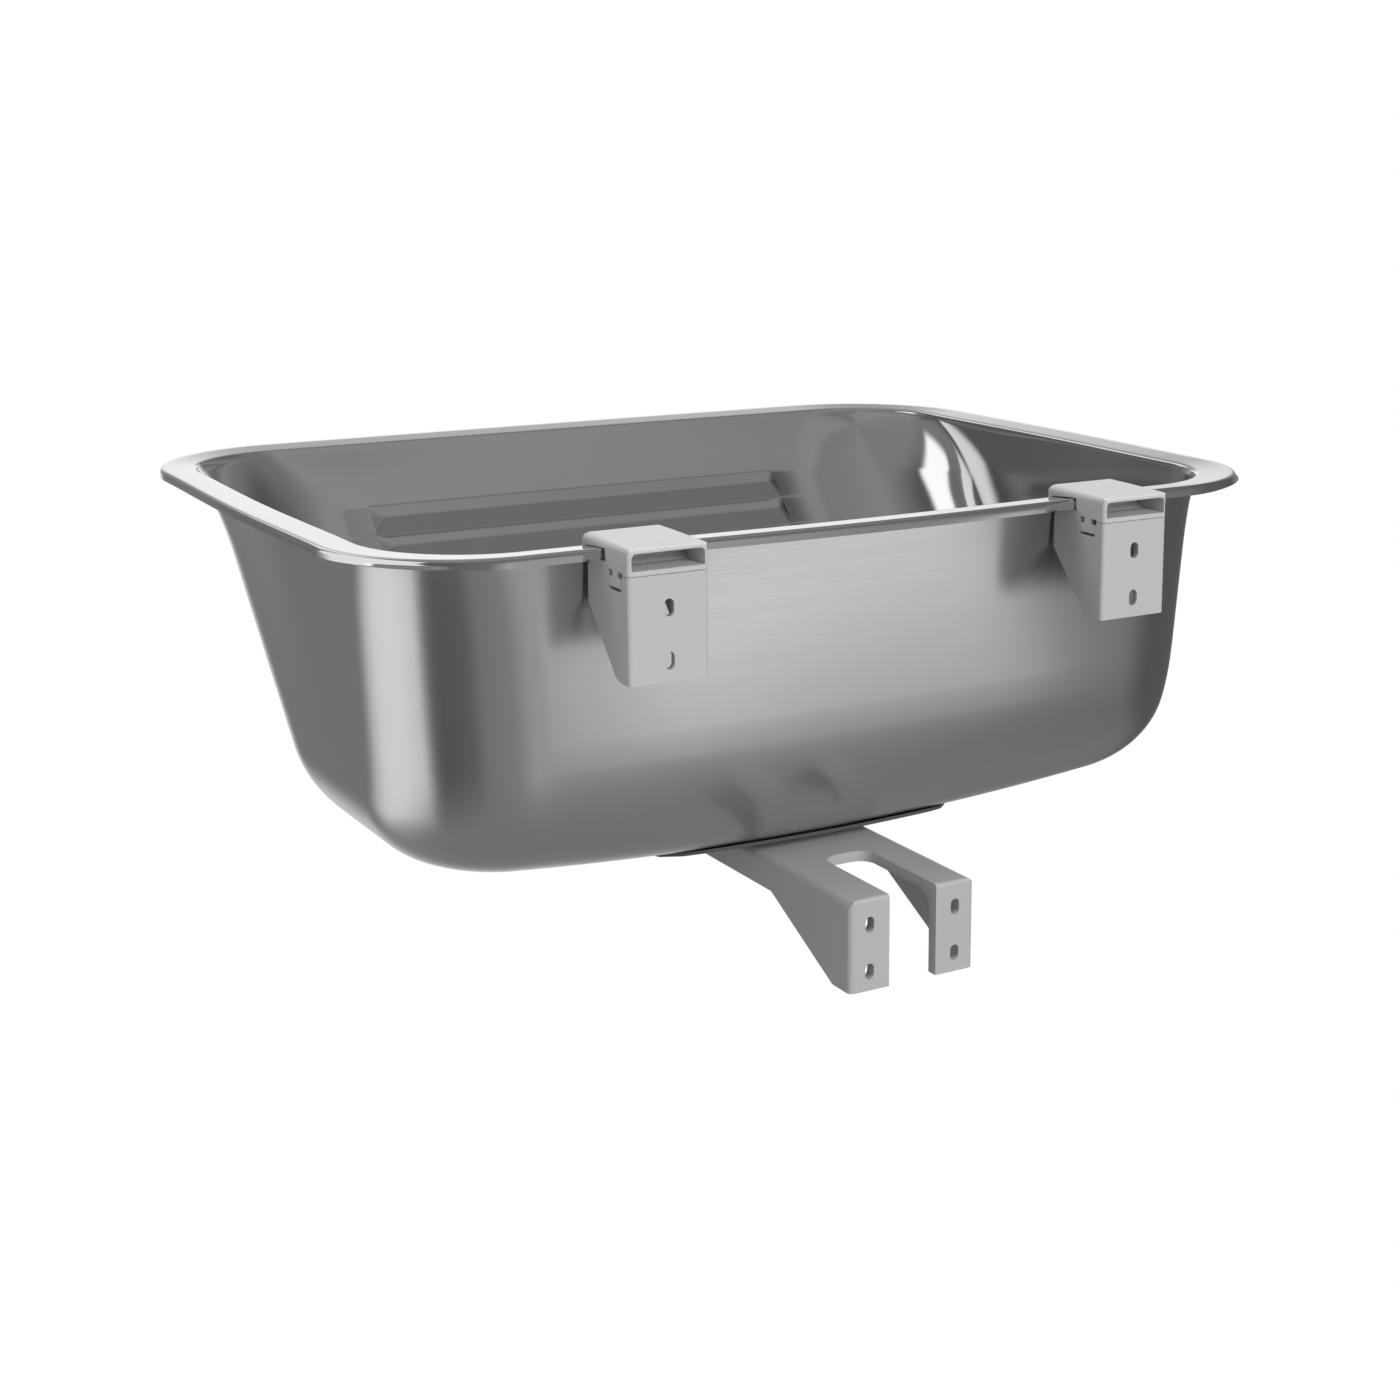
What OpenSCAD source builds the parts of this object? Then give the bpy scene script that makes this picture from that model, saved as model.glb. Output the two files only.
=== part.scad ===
// Wall-hung stainless utility sink with a washboard, two rim brackets with clips and a forked waste bracket.
// Frame: the wall is the plane y = 0, the user stands at -y, z = 0 is the top of the rim, x = 0 is mid-width.
// Side outlines are drawn as [distance from the wall, height]; plans as [x, distance from the wall].

/* [Rim] */
// Width of the rim along the wall
rim_w = 544; // [500:1:600]
// Depth of the rim from its wall edge to its front edge
rim_d = 412.5; // [390:0.5:450]
// Corner radius of the rim at the wall side
rim_corner_wall = 75; // [70:1:90]
// Corner radius of the rim at the front
rim_corner_front = 87; // [80:1:95]
// Space between the wall and the rim at its corners
wall_gap = 27; // [24:0.5:34]
// Height of the turned-down lip at the wall side and the front
lip_h = 5.5; // [4:0.5:8]
// Height of the turned-down lip at the ends
lip_end_h = 4.7; // [4:0.1:8]
// Outward flare of the lip's edge at the two wall-side corners
corner_flare = 1.8; // [0:0.1:3]
// Rise of the lip's edge at the same corners
corner_lift = 1.5; // [0:0.1:2]
// Radius where the flange turns down into the lip
shoulder_r = 2.2; // [1:0.1:2.5]
// Distance from the rim's wall edge to the bend into the bowl
flange_w = 17.2; // [16:0.1:24]
// Distance from the rim's end edges to that bend
flange_end_w = 19.2; // [16:0.1:26]
// Distance from the rim's front edge to that bend
flange_front_w = 19.7; // [16:0.1:28]
// Corner radius of the flange's inner edge
mouth_corner_r = 62.8; // [55:0.1:70]
// Drop of the flange towards the bowl
flange_fall = 1.2; // [0.5:0.1:2]
// Radius of the bend from the flange into the bowl
mouth_r = 2.4; // [2:0.1:4]
// Outward bow of the wall-side edge
bow_wall = 6; // [0:0.5:6.5]
// Outward bow of the front edge
bow_front = 1; // [0:0.5:4]
// Outward bow of each end
bow_end = 2.5; // [0:0.5:5]

/* [Bowl] */
// Thickness of the steel sheet
sheet = 0.8; // [0.6:0.1:1.2]
// Inside depth of the bowl where the floor meets its end bends
bowl_depth = 173; // [150:1:200]
// Fall of the floor from there to the middle
floor_fall = 13; // [8:0.5:16]
// Half the width over which the floor falls
fall_half_w = 220; // [205:1:240]
// Lean of the wall-side wall over the bowl's depth
lean_wall = 5.5; // [3:0.5:20]
// Lean of the front wall, which carries the washboard
lean_front = 144; // [125:1:150]
// Lean of each end wall
lean_end = 9.6; // [5:0.1:18]
// Bottom bend of the wall-side wall
bottom_r_wall = 61.6; // [45:0.1:66]
// Bottom bend of the front wall
bottom_r_front = 25; // [18:0.5:34]
// Bottom bend of each end wall
bottom_r_end = 36.6; // [25:0.1:45]
// Upright corner radius at the wall side, at the rim
corner_wall_top = 68; // [60:1:75]
// Upright corner radius at the wall side, at the floor
corner_wall_low = 72; // [66:1:80]
// Upright corner radius at the front, near the rim
corner_front_top = 92; // [80:1:95]
// Upright corner radius at the front, at the floor
corner_front_low = 80; // [70:1:90]

/* [Washboard] */
// Number of ridges
ridges = 4; // [2:1:4]
// Distance down the front wall from the bend to the first ridge
ridge_start = 42.5; // [30:0.5:50]
// Distance from crest to crest down the wall
ridge_pitch = 20.5; // [16:0.5:22]
// Height of a crest over the wall
ridge_h = 4.5; // [2:0.5:6]
// Half the length of a ridge at its foot
ridge_half_l = 142; // [100:1:148]
// Length of the hipped end of a ridge
ridge_hip = 7.5; // [5:0.5:15]

/* [Waste] */
// Level floor between the seat of the waste and the front bend
waste_front_gap = 22.7; // [18:0.1:26]
// Radius of the hole in the floor
hole_r = 25; // [23:0.5:26]
// Reach of the steel flange past the hole
flange_over = 10; // [9:0.5:11]
// Level seat left free round the steel flange
seat_margin = 2; // [1.5:0.1:4]
// Width of the slope from the floor down to the seat
seat_slope = 5; // [3:0.5:7]
// Depth of the seat below the floor
seat_drop = 2; // [1.5:0.1:2.5]
// Thickness of the steel flange and its grid
waste_sheet = 1.2; // [0.8:0.1:1.6]
// Thickness of the gasket under the flange
gasket_t = 1.2; // [0.8:0.1:1.5]
// Narrowing of the dish from its edge to its grid
dish_run = 3.2; // [2:0.1:4]
// Depth of the dish
dish_h = 6; // [5:0.5:8]
// Number of holes round the grid
grid_holes = 8; // [6:1:10]
// Radius of a grid hole
grid_hole_r = 3.2; // [2:0.1:3.6]
// Thickness of the gasket between the waste bracket and the waste body
body_gasket_t = 2; // [1.5:0.1:3]
// Width of that gasket
body_gasket_w = 6.8; // [5:0.1:8]
// Gap between the waste body's top rim and the waste bracket's flanks
body_clear = 2; // [1.5:0.5:4]
// Height of the waste body's top rim
body_rim_h = 3; // [2.5:0.5:4]
// Height of the funnel below it
funnel_h = 7; // [5:0.5:9]
// Outer radius of the threaded outlet
outlet_r = 20.95; // [19:0.05:22]
// Length of the threaded outlet
outlet_l = 12; // [10:0.5:16]
// Wall of the waste body
body_wall = 2.5; // [2:0.1:3]
// Radius of the screw's shank
screw_r = 3; // [2.5:0.1:3.5]

/* [Plug] */
// Height of the plug's tapered body
plug_h = 7; // [5:0.5:9]
// Thickness of the plug's top disc
plug_disc_t = 2.5; // [2:0.5:4]
// Reach of the plug's top disc past the hole
plug_over = 1; // [0:0.5:3]
// Height of the pull knob
knob_h = 9; // [7:0.5:14]

/* [Rim brackets] */
// Distance from mid-width to the middle of each bracket
bracket_x = 138; // [110:1:150]
// Width of a bracket
bracket_w = 42; // [38:1:46]
// Bottom of a bracket below the top of the rim
bracket_bottom = 61.5; // [58:0.5:72]
// Joint line between bracket and clip below the top of the rim
joint_line = 9.7; // [9.5:0.1:11]
// Thickness of the wall plate
plate_t = 3.5; // [3:0.5:5]
// Thickness of each cheek
cheek_t = 3; // [2.6:0.1:4]
// Height down to which the cheeks keep their full reach
cheek_low = 28.5; // [24:0.5:32]
// Distance from the wall at which a cheek's slope meets its foot
foot_d = 13; // [11:0.5:16]
// Rounding of a cheek's foot
foot_r = 12; // [6:0.5:14]
// Thickness of the saddle under the flange
saddle_t = 3; // [2:0.5:4]
// Start of the notch for the clip's tongue, from the wall
notch_start = 6.3; // [5.5:0.1:7]
// End of the notch for the clip's tongue, from the wall
notch_end = 19.7; // [17:0.1:20]
// Bottom of the notch below the top of the rim
notch_low = 17.9; // [17.2:0.1:22]
// Step by which the notch is narrower beside the tongue's head
notch_step = 1.2; // [0.5:0.1:2]
// Vertical distance between the two wall slots
slot_pitch = 25.5; // [20:0.5:28]
// Middle of the two wall slots below the top of the rim
slot_mid = 38.4; // [36:0.1:42]
// Width of every wall slot
slot_w = 5.2; // [4.5:0.1:6]
// Length of every wall slot, end to end
slot_l = 8.6; // [7:0.1:10]

/* [Rim clips] */
// Height of the clip over the rim at the wall
clip_top = 3.4; // [3:0.1:5]
// Rise of the clip's top from the wall to its nose
clip_rise = 1.6; // [0:0.1:2]
// Reach of the nose past the bend into the bowl
nose_over = 4.8; // [4:0.1:6]
// Depth of the nose below the top of the rim
nose_drop = 3.8; // [3:0.1:5]
// Rounding of the nose and of the clip's upper side edges
nose_r = 4; // [2:0.1:4]
// Thickness of the clip's sides
clip_side = 1.85; // [1.5:0.05:2.4]
// Top of the window above the top of the rim
window_high = 1.2; // [0:0.1:1.5]
// Bottom of the window below the top of the rim
window_low = 7; // [6:0.1:7.5]
// Corner radius of the window's upper corners
window_r = 2.4; // [1.5:0.1:4]
// Thickness of the clip's curved front
clip_front_t = 2; // [1.5:0.1:2.5]
// Height of the tongue's head
tongue_h = 4.7; // [3:0.1:4.8]
// Height of the two small reliefs beside the tongue's neck
relief_h = 2.8; // [2:0.1:3]
// Width of the relief next to the wall
relief_near_w = 4.4; // [3:0.1:5]
// Width of the other relief
relief_far_w = 3.2; // [2:0.1:4]

/* [Waste bracket] */
// Width of the gap between the legs
fork_gap = 28.6; // [26:0.1:32]
// Distance from the wall to the closed end of the gap
gap_end = 68; // [60:1:80]
// Thickness of the top plate
fork_top_t = 5.8; // [4:0.1:7]
// Thickness of the legs' wall plates
leg_plate_t = 6.5; // [5:0.1:8]
// Thickness of the outer flanks
flank_t = 3; // [2.5:0.1:3.5]
// Height of the flanks under the basin
flank_h = 18; // [16:0.5:22]
// Height of the legs at the wall
leg_h = 49.5; // [46:0.5:56]
// Distance from the wall at which the flanks start to deepen
slope_far = 80; // [74:1:90]
// Distance from the wall at which they reach the legs' foot
slope_near = 17; // [14:0.5:22]
// Vertical distance between the two slots of a leg
leg_slot_pitch = 25.2; // [22:0.1:28]
// Middle of a leg's slots below the top plate
leg_slot_mid = 26.6; // [24:0.1:28]
// Rounding along the top plate's edges
fold_r = 5; // [2:0.5:5.5]

/* [Sound pad] */
// Width of the pad
pad_w = 196; // [180:1:220]
// Distance from the middle of the waste to the pad's edge next to the wall
pad_back = 97; // [85:1:101]
// Distance from the middle of the waste to the pad's front edge
pad_front = 65; // [60:1:69]
// Corner radius of the pad
pad_corner_r = 40; // [20:1:45]
// Thickness of the pad
pad_t = 1.8; // [1.2:0.1:1.9]
// Space between the opening round the waste and the seat's slope
pad_hole_gap = 6; // [4:0.5:8]

/* [Hidden] */

// Unit millimetre, which scales small sizes that have no name of their own
mm = 1;
// Overrun of every cut past the faces it opens
over = 1 * mm;
// Gap between two faces that rest on each other
seat_gap = 0.3 * mm;
// Film of glue between the pad and the floor
glue_t = 0.2 * mm;
// Smoothness of the turned pieces
$fn = 96;

// Leans of the three kinds of wall, in the order end, wall side, front
lean_ratios = [for (lean = [lean_end, lean_wall, lean_front]) lean / (bowl_depth - flange_fall)];
// Bends at the foot of the same walls
bottom_radii = [bottom_r_end, bottom_r_wall, bottom_r_front];
// Share of the depth over which the upright corners leave the rim's radius
blend_share = 0.2;
// Share of the depth at which the fall of the floor starts to show in the walls
fall_start_share = 0.3;
// Segments of a corner, of the rim's shoulder, of the bend at the mouth and of the bend at the floor
corner_steps = 7;
shoulder_steps = 3;
mouth_steps = 3;
bottom_steps = 9;
// Columns along the straight stretches, as shares of half their length
wall_column_shares = [0.75, 0.5, 0.25, 0, -0.25, -0.5, -0.75];
end_column_shares = [-0.5, 0, 0.5];
crest_column_shares = [-1, -0.5, 0, 0.5, 1];

front_y = -wall_gap - rim_d;
flange_widths = [flange_end_w, flange_w, flange_front_w];
flange_r = hole_r + flange_over;
seat_r = flange_r + seat_margin;
floor_z = -bowl_depth - floor_fall;
seat_z = floor_z - seat_drop;
under_z = seat_z - sheet;
slope_len_ratio = sqrt(1 + pow(lean_ratios[2], 2));
ridge_hip_x = ridge_half_l - ridge_hip;

// Bow of an edge at a share of its half length
function bow_at(share) = pow(1 - share * share, 2);

// Inset that the bend at the floor adds to a wall at height z
function floor_bend(side, z) =
    let (r = bottom_radii[side], h = max(0, z + bowl_depth))
    h >= r ? 0 : r - sqrt(r * r - pow(r - h, 2));

// Inset of a wall at height z: the bend at the mouth, the lean, then the bend at the floor
function wall_inset(side, z) =
    let (k = lean_ratios[side], turn = 90 - atan(k))
    flange_widths[side] + mouth_r * sin(turn) + k * (-z - flange_fall - mouth_r * (1 - cos(turn)))
    + floor_bend(side, z);

// A row of the skin: insets and heights in the order end, wall side, front, then the upright
// corner radii at the wall side and at the front, and the shares of bow, fall, crest and flare
lip_row = [[0, 0, 0], [-lip_end_h, -lip_h, -lip_h], [rim_corner_wall, rim_corner_front], 1, 0, 0, 1];

function rim_row(inset, z) =
    [[inset, inset, inset], [z, z, z], [rim_corner_wall - inset, rim_corner_front - inset], 1, 0, 0, 0];

function mouth_row(step) =
    let (turns = [for (k = lean_ratios) (90 - atan(k)) * step / mouth_steps],
         corner_r = mouth_corner_r - mouth_r * sin(turns[1]))
    [[for (side = [0 : 2]) flange_widths[side] + mouth_r * sin(turns[side])],
     [for (a = turns) -flange_fall - mouth_r * (1 - cos(a))], [corner_r, corner_r], 1, 0, 0, 0];

function corner_radius(top, low, t) =
    top + (low - top) * t
    - (top - mouth_corner_r + mouth_r) * pow(max(0, 1 - t / blend_share), 2);

function bowl_row(z, crest = 0) =
    let (t = (-z - flange_fall) / (bowl_depth - flange_fall),
         bends = [for (side = [0 : 2]) floor_bend(side, z)])
    [[for (side = [0 : 2]) wall_inset(side, z)], [z, z, z],
     [corner_radius(corner_wall_top, corner_wall_low, t) - (bends[0] + bends[1]) / 2,
      corner_radius(corner_front_top, corner_front_low, t) - (bends[0] + bends[2]) / 2],
     pow(1 - t, 2), pow(max(0, (t - fall_start_share) / (1 - fall_start_share)), 2), crest, 0];

ridge_rows = [for (i = [0 : 2 * ridges])
    bowl_row(-flange_fall - mouth_r - (ridge_start + i * ridge_pitch / 2) / slope_len_ratio, i % 2)];
bottom_rows = [for (i = [0 : bottom_steps])
    bowl_row(-bowl_depth + bottom_r_wall * (1 - sin(90 * i / bottom_steps)))];
rows = concat(
    [lip_row],
    [for (i = [0 : shoulder_steps]) let (a = 90 * i / shoulder_steps)
        rim_row(shoulder_r * (1 - cos(a)), -shoulder_r * (1 - sin(a)))],
    [for (i = [0 : mouth_steps]) mouth_row(i)],
    [bowl_row(-ridge_start / 2)],
    ridge_rows,
    bottom_rows);

// Columns of the skin, as [stretch, place along it, side]: 0 front, 1 corner, 2 end, 3 wall side.
// A corner's place is its angle from the front or wall side; side is [x sign, 0 front or 1 wall side]
turn_up = [for (i = [0 : corner_steps]) 90 * i / corner_steps];
turn_down = [for (i = [0 : corner_steps]) 90 - 90 * i / corner_steps];
front_columns = concat([-ridge_half_l], [for (s = crest_column_shares) s * ridge_hip_x], [ridge_half_l]);
columns = concat(
    [for (x = front_columns) [0, x, [1, 0]]],
    [for (a = turn_up) [1, a, [1, 0]]],
    [for (s = end_column_shares) [2, s, [1, 0]]],
    [for (a = turn_down) [1, a, [1, 1]]],
    [for (s = wall_column_shares) [3, s, [1, 1]]],
    [for (a = turn_up) [1, a, [-1, 1]]],
    [for (s = end_column_shares) [2, -s, [-1, 0]]],
    [for (a = turn_down) [1, a, [-1, 0]]]);

function fall_at(x) = floor_fall * (1 - pow(x / fall_half_w, 2));

// Point of a row at a column
function row_point(row, col) =
    let (half = rim_w / 2 - row[0][0], y_wall = -wall_gap - row[0][1], y_front = front_y + row[0][2],
         r_wall = row[2][0], r_front = row[2][1], crest = row[5] * (abs(col[1]) > ridge_hip_x ? 0 : 1),
         sx = col[2][0], at_wall = col[2][1], r = at_wall == 1 ? r_wall : r_front,
         flare = col[0] == 1 ? at_wall * row[6] * pow(sin(2 * col[1]), 2) : 0,
         reach = r + flare * corner_flare,
         mid_low = y_front + r_front, mid_high = y_wall - r_wall,
         p = col[0] == 0 ?
                 [col[1], y_front - row[3] * bow_front * bow_at(min(1, abs(col[1]) / (half - r_front))),
                  row[1][2]] + crest * ridge_h / slope_len_ratio * [0, 1, lean_ratios[2]]
           : col[0] == 1 ?
                 [sx * (half - r + reach * sin(col[1])),
                  at_wall == 1 ? y_wall - r + reach * cos(col[1]) : y_front + r - r * cos(col[1]),
                  row[1][at_wall == 1 ? 1 : 2] * pow(cos(col[1]), 2) + row[1][0] * pow(sin(col[1]), 2)
                  + flare * corner_lift]
           : col[0] == 2 ?
                 [sx * (half + row[3] * bow_end * bow_at(col[1])),
                  (mid_low + mid_high) / 2 + col[1] * (mid_high - mid_low) / 2, row[1][0]]
           : [col[1] * (half - r_wall), y_wall + row[3] * bow_wall * bow_at(col[1]), row[1][1]])
    [p[0], p[1], p[2] - row[4] * fall_at(p[0])];

// The waste stands behind the front bend, and the floor closes from its outline to the circles round it
waste_d = wall_gap + rim_d - wall_inset(2, -bowl_depth) - waste_front_gap - seat_slope - seat_r;
floor_shares = [1 / 3, 2 / 3];
outline = [for (col = columns) row_point(rows[len(rows) - 1], col)];
function ring(r, z) = [for (p = outline)
    let (a = atan2(p[1] + waste_d, p[0])) [r * cos(a), -waste_d + r * sin(a), z]];
seat_edge = [for (p = ring(seat_r + seat_slope, 0)) [p[0], p[1], -bowl_depth - fall_at(p[0])]];
skin = concat(
    [for (row = rows) [for (col = columns) row_point(row, col)]],
    [for (s = floor_shares) [for (j = [0 : len(columns) - 1])
        let (x = outline[j][0] + s * (seat_edge[j][0] - outline[j][0]))
        [x, outline[j][1] + s * (seat_edge[j][1] - outline[j][1]), -bowl_depth - fall_at(x)]]],
    [seat_edge, ring(seat_r, seat_z), ring(hole_r - over, seat_z)]);

// Direction from the wet face to the dry face of the sheet
function outward_dir(i, j) =
    let (n = len(columns), last = len(skin) - 1,
         along = skin[i][(j + 1) % n] - skin[i][(j + n - 1) % n],
         down = skin[min(last, i + 1)][j] - skin[max(0, i - 1)][j],
         d = cross(down, along))
    d / norm(d);

dry_skin = [for (i = [0 : len(skin) - 1]) [for (j = [0 : len(columns) - 1])
    skin[i][j] + sheet * outward_dir(i, j)]];

function join(lists) = [for (list = lists) for (item = list) item];

module basin() {
    n = len(columns);
    m = len(skin);
    wet_faces = [for (i = [0 : m - 2]) for (j = [0 : n - 1]) let (k = (j + 1) % n)
        each [[i * n + j, i * n + k, i * n + n + k], [i * n + j, i * n + n + k, i * n + n + j]]];
    dry_faces = [for (f = wet_faces) [f[2] + m * n, f[1] + m * n, f[0] + m * n]];
    edge_faces = [for (j = [0 : n - 1]) let (k = (j + 1) % n)
        each [[j, j + m * n, k], [k, j + m * n, k + m * n]]];
    hole_faces = [for (j = [0 : n - 1]) let (k = (j + 1) % n, a = (m - 1) * n)
        each [[a + k, a + j + m * n, a + j], [a + k, a + k + m * n, a + j + m * n]]];
    color("silver")
        difference() {
            polyhedron(points = concat(join(skin), join(dry_skin)),
                       faces = concat(wet_faces, dry_faces, edge_faces, hole_faces));
            translate([0, -waste_d, under_z - over])
                cylinder(h = sheet + 2 * over, r = hole_r);
        }
}

// Unit vector from one point to another
function toward(a, b) = (b - a) / norm(b - a);

// Arc that rounds corner b between its neighbours a and c
function corner_arc(a, b, c, r, steps = 6) =
    let (u = toward(b, a), v = toward(b, c), half = acos(u * v) / 2,
         middle = b + (u + v) / norm(u + v) * r / sin(half),
         p = b + u * r / tan(half) - middle, q = b + v * r / tan(half) - middle,
         from = atan2(p[1], p[0]), turn = atan2(q[1], q[0]) - from,
         sweep = turn > 180 ? turn - 360 : turn < -180 ? turn + 360 : turn)
    [for (i = [0 : steps]) middle + r * [cos(from + sweep * i / steps), sin(from + sweep * i / steps)]];

// Outline from corners given as [x, y] or, where a corner is rounded, as [x, y, radius]
function rounded(corners) =
    let (n = len(corners), flat = [for (c = corners) [c[0], c[1]]])
    join([for (i = [0 : n - 1]) len(corners[i]) < 3 ? [flat[i]]
        : corner_arc(flat[(i + n - 1) % n], flat[i], flat[(i + 1) % n], corners[i][2])]);

// Extrudes a side outline to both sides of mid-width
module across(width) {
    rotate([90, 0, -90])
        linear_extrude(width, center = true)
            children();
}

// Extrudes a plan between two heights
module upright(low, high) {
    translate([0, 0, low])
        mirror([0, 1, 0])
            linear_extrude(high - low)
                children();
}

// Extrudes a wall view away from the wall, between two distances
module away(near, far) {
    translate([0, -near, 0])
        rotate([90, 0, 0])
            linear_extrude(far - near)
                children();
}

// Upright slot through a wall plate, round at both ends
module wall_slot(x, z, depth) {
    away(-over, depth + over)
        translate([x, z]) {
            square([slot_w, slot_l - slot_w], center = true);
            for (end = [-1, 1])
                translate([0, end * (slot_l - slot_w) / 2])
                    circle(d = slot_w);
        }
}

// Sound pad: rows follow the underside of the floor and of the wall-side bend
pad_row_steps = 14;
pad_column_steps = 12;
pad_near = waste_d - pad_back;
pad_far = waste_d + pad_front;
floor_edge_d = wall_gap + wall_inset(1, -bowl_depth);
pad_bend_r = bottom_r_wall + sheet;

function under_floor(x, d, gap) =
    let (r = pad_bend_r + gap, into = max(0, floor_edge_d - d))
    -bowl_depth - sheet - gap - fall_at(x) + r - sqrt(r * r - into * into);

function pad_half_w(d) =
    let (into = max(0, pad_near + pad_corner_r - d, d - pad_far + pad_corner_r))
    pad_w / 2 - pad_corner_r + sqrt(max(0, pow(pad_corner_r, 2) - into * into));

// Rows lie closer together in the rounded corners
function pad_row_d(i) = (pad_near + pad_far) / 2 - (pad_far - pad_near) / 2 * cos(180 * i / pad_row_steps);

pad_layer = [for (i = [0 : pad_row_steps]) for (j = [0 : pad_column_steps])
    let (d = pad_row_d(i)) [pad_half_w(d) * (2 * j / pad_column_steps - 1), d]];

module sound_pad() {
    w = pad_column_steps + 1;
    n = len(pad_layer);
    top_faces = [for (i = [0 : pad_row_steps - 1]) for (j = [0 : pad_column_steps - 1])
        let (a = i * w + j) each [[a, a + 1, a + w], [a + 1, a + w + 1, a + w]]];
    low_faces = [for (f = top_faces) [f[2] + n, f[1] + n, f[0] + n]];
    loop = concat([for (j = [0 : pad_column_steps - 1]) j],
                  [for (i = [0 : pad_row_steps - 1]) i * w + pad_column_steps],
                  [for (j = [pad_column_steps : -1 : 1]) pad_row_steps * w + j],
                  [for (i = [pad_row_steps : -1 : 1]) i * w]);
    side_faces = [for (i = [0 : len(loop) - 1]) let (a = loop[i], b = loop[(i + 1) % len(loop)])
        each [[b, a, a + n], [b, a + n, b + n]]];
    color("dimgray")
        difference() {
            polyhedron(
                points = concat([for (p = pad_layer) [p[0], -p[1], under_floor(p[0], p[1], glue_t)]],
                                [for (p = pad_layer) [p[0], -p[1], under_floor(p[0], p[1], glue_t + pad_t)]]),
                faces = concat(top_faces, low_faces, side_faces));
            translate([0, -waste_d, floor_z - seat_drop - pad_t - 2 * over])
                cylinder(h = seat_drop + pad_t + 4 * over, r = seat_r + seat_slope + pad_hole_gap);
        }
}

// Distances from the wall at the brackets, where the bowed rim comes nearest to the wall and least near
straight_half = rim_w / 2 - rim_corner_wall;
rim_near = wall_gap - bow_wall * bow_at((bracket_x - bracket_w / 2) / straight_half);
rim_far = wall_gap - bow_wall * bow_at(min(1, (bracket_x + bracket_w / 2) / straight_half));
flange_slope = flange_fall / (flange_w - shoulder_r);
cheek_gap = 0.5 * mm;
cheek_reach = rim_near + flange_w + mouth_r - sheet - cheek_gap;
saddle_start = rim_far + sheet + shoulder_r;
saddle_end = rim_near + flange_w - seat_gap;
lip_low = -lip_h - seat_gap;
cheek_shoulder = 12 * mm;
cheek_corner_r = 3 * mm;
edge_r = 2 * mm;

// Underside of the flange at a distance from the wall, with the gap to what carries it
function carry_z(d) = -sheet - seat_gap - flange_slope * max(0, d - rim_near - shoulder_r);

cheek_outline = rounded([
    [0, -bracket_bottom], [foot_d, -bracket_bottom, foot_r], [cheek_reach, -cheek_low, cheek_corner_r],
    [cheek_reach, -cheek_shoulder], [saddle_end, carry_z(saddle_end) - saddle_t / 2],
    [saddle_end, carry_z(saddle_end)], [saddle_start, carry_z(saddle_start)],
    [saddle_start, lip_low], [rim_near - seat_gap, lip_low], [notch_end + seat_gap, -joint_line],
    [0, -joint_line]]);

module rim_bracket(x) {
    low = -bracket_bottom - over;
    saddle_low = carry_z(saddle_end) - saddle_t;
    color("lightgray")
        translate([x, 0, 0])
            difference() {
                intersection() {
                    across(bracket_w)
                        polygon(cheek_outline);
                    upright(low, over)
                        polygon(rounded([
                            [-bracket_w / 2, 0, edge_r], [bracket_w / 2, 0, edge_r],
                            [bracket_w / 2, cheek_reach + over], [-bracket_w / 2, cheek_reach + over]]));
                }
                across(bracket_w - 2 * cheek_t)
                    polygon([[plate_t, low], [plate_t, over], [saddle_start, over],
                             [saddle_start, saddle_low], [cheek_reach + over, saddle_low],
                             [cheek_reach + over, low]]);
                across(bracket_w + 2 * over)
                    polygon([[notch_start + notch_step, -notch_low], [notch_end, -notch_low],
                             [notch_end, over], [notch_start, over], [notch_start, head_top],
                             [notch_start + notch_step, head_top]]);
                for (side = [-1, 1])
                    wall_slot(0, -slot_mid + side * slot_pitch / 2, plate_t);
            }
}

// Clip: a box section over the joint line, an arm over the flange and a nose behind its inner bend
clip_low = -joint_line + seat_gap;
clip_reach = rim_far + flange_w + nose_over + seat_gap;
nose_back = rim_far + flange_w + mouth_r + seat_gap;
front_corner_d = rim_near - 2 * seat_gap;
front_bend_r = 3 * mm;
front_bend_share = 0.5;
nose_edge_r = 0.5 * mm;
head_gap = 0.25 * mm;
head_edge_r = 0.5 * mm;
clip_relief_h = relief_h / 3;
head_top = -joint_line + clip_relief_h - relief_h;
arm_start_z = seat_gap;
arm_end_z = seat_gap - flange_fall;
front_bend_z = -joint_line * front_bend_share;

clip_outline = rounded([
    [0, clip_low], [0, clip_top, edge_r], [clip_reach, clip_top + clip_rise, nose_r],
    [clip_reach, -nose_drop, nose_edge_r], [nose_back, -nose_drop],
    [nose_back, -flange_fall - mouth_r / 2], [rim_far + flange_w + mouth_r / 2, arm_end_z],
    [rim_far + flange_w, arm_end_z], [rim_far + shoulder_r, arm_start_z], [front_corner_d, arm_start_z],
    [front_corner_d, front_bend_z, front_bend_r], [notch_end, clip_low + 2 * seat_gap],
    [notch_end, clip_low]]);

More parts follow.
